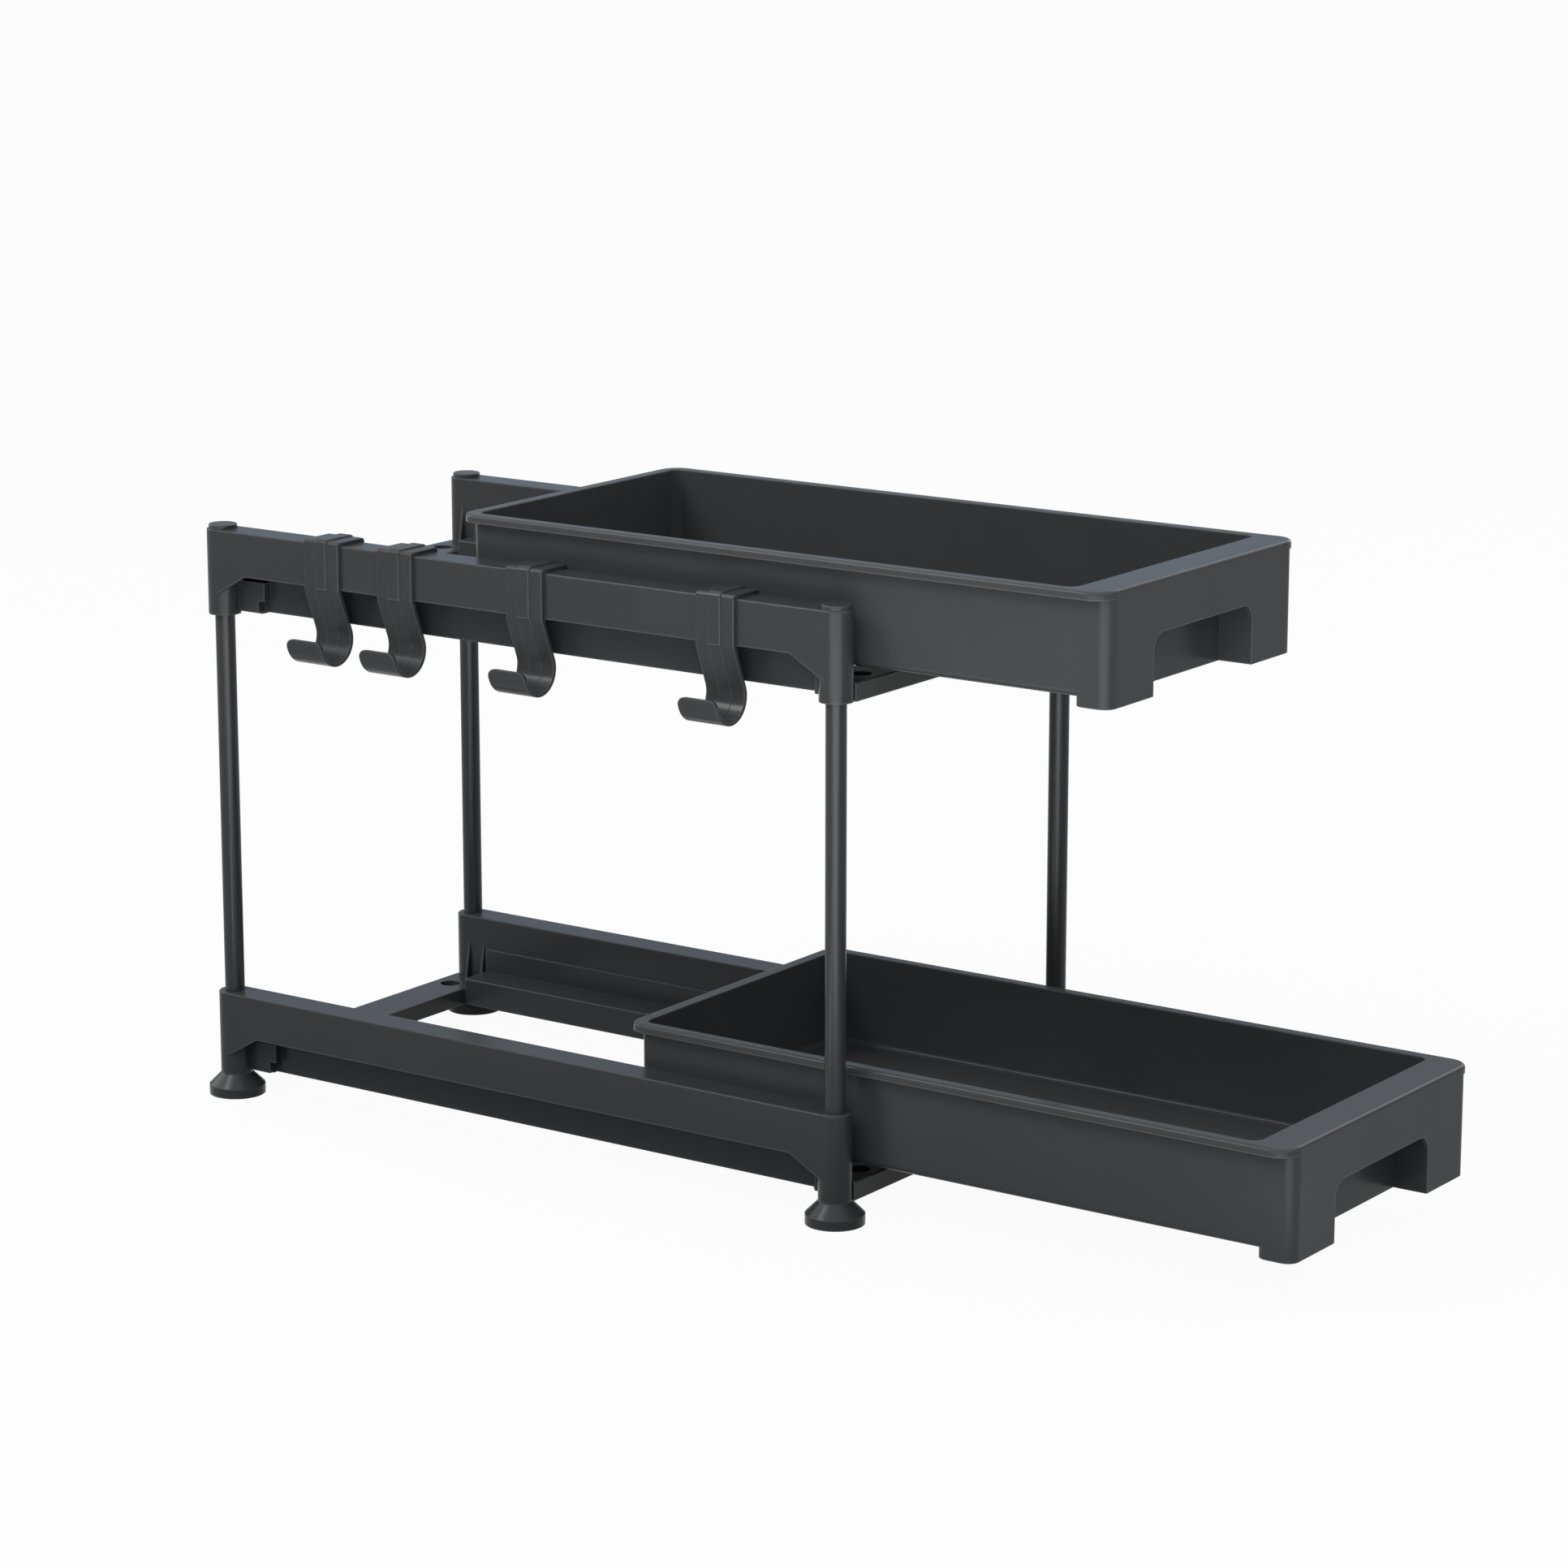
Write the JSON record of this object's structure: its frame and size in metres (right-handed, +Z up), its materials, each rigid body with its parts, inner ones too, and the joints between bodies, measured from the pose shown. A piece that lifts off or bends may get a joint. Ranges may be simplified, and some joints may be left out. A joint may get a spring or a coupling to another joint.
{
  "type": "under sink organizer",
  "caption": "Free-standing under-sink rack: moulded rails on tube posts carry pull-out trays on two levels, with J hooks hung over one upper rail.",
  "frame": {"origin": "centre of the bounding box of the pictured pose, on the floor", "axes": "+X to the right when seen from the front, -Y to the front where the trays are drawn out, +Z up"},
  "size_m": [0.2323, 0.6226, 0.3133],
  "materials": {
    "black_plastic": "matte",
    "post_steel": "satin"
  },
  "bodies": {
    "frame": {"lower_left_rail": "black_plastic", "lower_right_rail": "black_plastic", "upper_left_rail": "black_plastic", "upper_right_rail": "black_plastic", "lower_front_crossbar": "black_plastic", "lower_rear_crossbar": "black_plastic", "upper_front_crossbar": "black_plastic", "upper_rear_crossbar": "black_plastic", "front_left_post": "post_steel", "front_right_post": "post_steel", "rear_left_post": "post_steel", "rear_right_post": "post_steel", "front_left_foot": "black_plastic", "front_right_foot": "black_plastic", "rear_left_foot": "black_plastic", "rear_right_foot": "black_plastic", "front_left_cap": "black_plastic", "front_right_cap": "black_plastic", "rear_left_cap": "black_plastic", "rear_right_cap": "black_plastic"},
    "upper_drawer": {"upper_tray": "black_plastic"},
    "lower_drawer": {"lower_tray": "black_plastic"},
    "hook_1_hanger": {"hook_1": "black_plastic"},
    "hook_2_hanger": {"hook_2": "black_plastic"},
    "hook_3_hanger": {"hook_3": "black_plastic"},
    "hook_4_hanger": {"hook_4": "black_plastic"}
  },
  "joints": [
    {"name": "upper_tray_slide", "type": "slide", "parent": "frame", "child": "upper_drawer", "axis": [0, -1, 0], "range_m": [-0.1329, 0.1362]},
    {"name": "lower_tray_slide", "type": "slide", "parent": "frame", "child": "lower_drawer", "axis": [0, -1, 0], "range_m": [-0.2322, 0.0369]},
    {"name": "hook_1_slide", "type": "slide", "parent": "frame", "child": "hook_1_hanger", "axis": [0, 1, 0], "range_m": [-0.0115, 0.036]},
    {"name": "hook_2_slide", "type": "slide", "parent": "frame", "child": "hook_2_hanger", "axis": [0, 1, 0], "range_m": [-0.028, 0.0115]},
    {"name": "hook_3_slide", "type": "slide", "parent": "frame", "child": "hook_3_hanger", "axis": [0, 1, 0], "range_m": [-0.044, 0.028]},
    {"name": "hook_4_slide", "type": "slide", "parent": "frame", "child": "hook_4_hanger", "axis": [0, 1, 0], "range_m": [-0.026, 0.044]}
  ]
}
